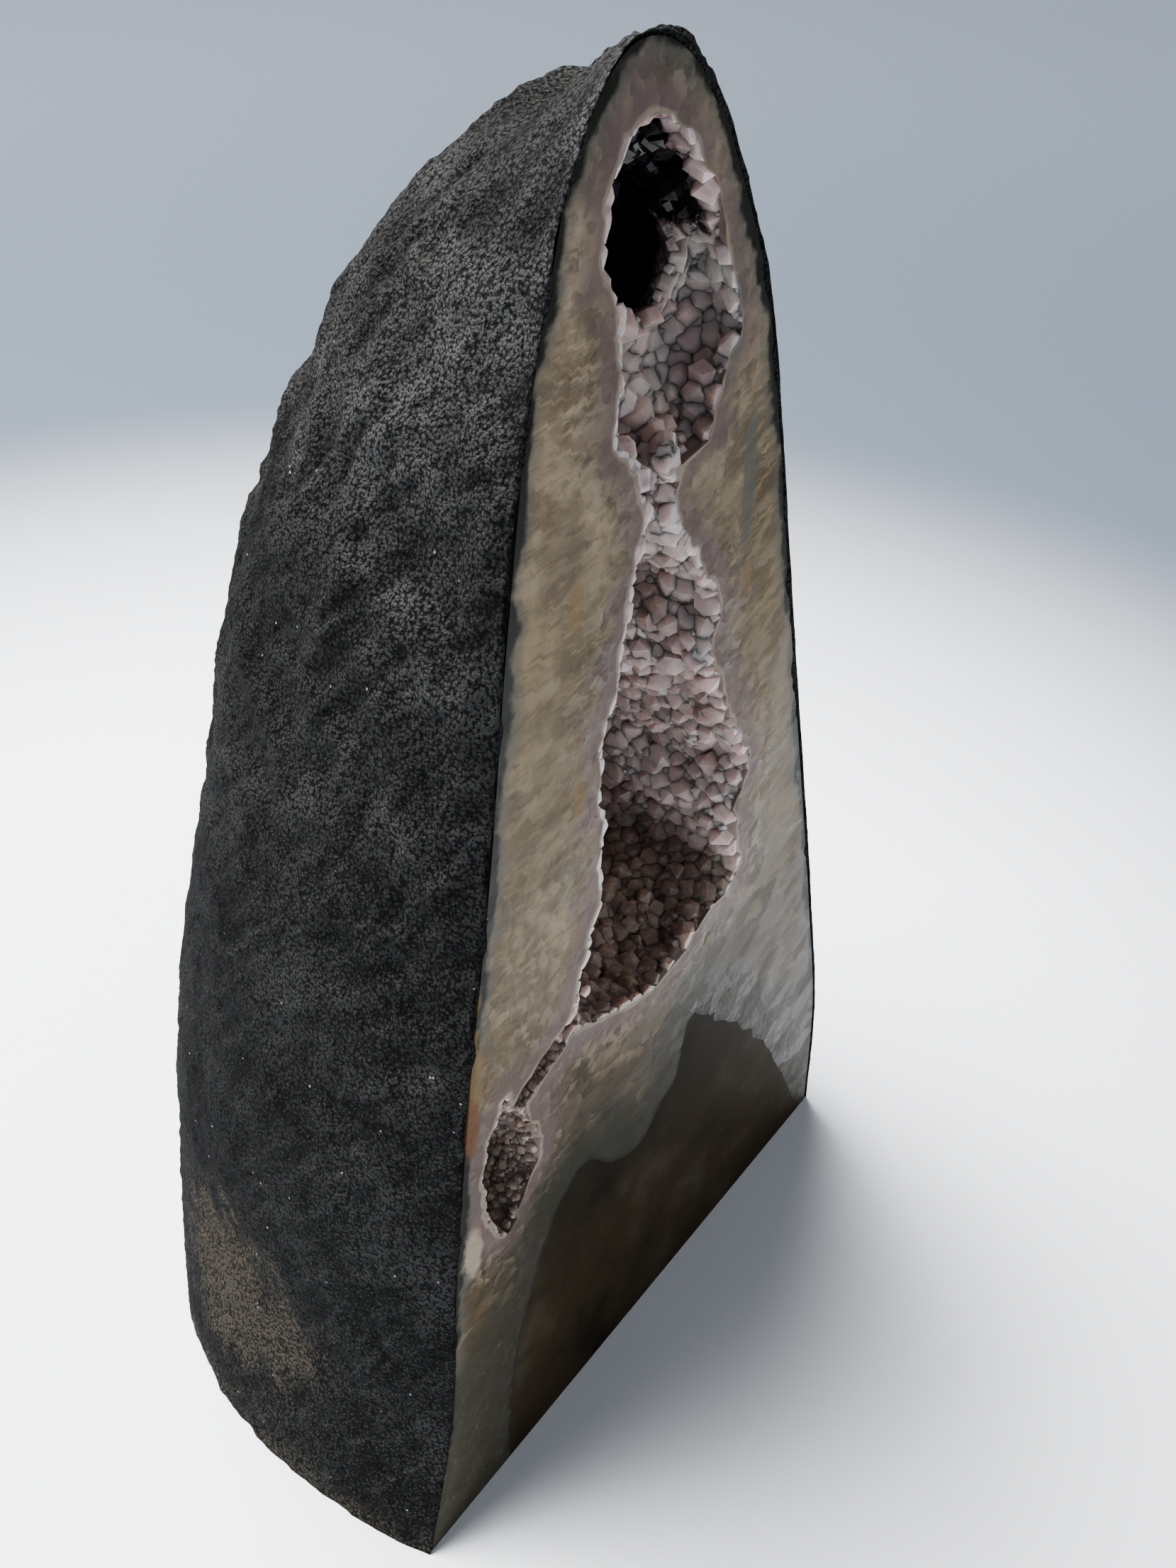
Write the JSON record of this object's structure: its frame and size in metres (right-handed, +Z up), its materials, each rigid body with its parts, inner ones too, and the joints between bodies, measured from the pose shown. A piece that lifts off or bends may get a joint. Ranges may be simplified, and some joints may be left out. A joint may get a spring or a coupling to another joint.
{
  "type": "amethyst geode",
  "caption": "Standing geode sawn flat in front, with a deep amethyst-lined hollow in a pale quartz wall, dark host rock at its foot and a rough cement coat on its back.",
  "frame": {"origin": "middle of the object's box, on the surface that it stands on", "axes": "+Z up, the sawn face looks towards -Y, +X to the right along it"},
  "size_m": [0.197, 0.1444, 0.3598],
  "materials": {
    "cement": "painted charcoal cement, matt, covered in sand grains and trowel ridges",
    "quartz": "polished translucent quartz and chalcedony, streaked at right angles to its rim, with ochre stains",
    "basalt": "fine sawn basalt, olive brown, satin",
    "amethyst": "pale lavender to smoky amethyst points, glassy"
  },
  "bodies": {
    "root": {"cement_coat": "cement", "quartz_shell": "quartz", "basalt_matrix": "basalt", "upper_crystals": "amethyst", "lower_crystals": "amethyst", "vug_crystals": "amethyst"}
  },
  "joints": []
}
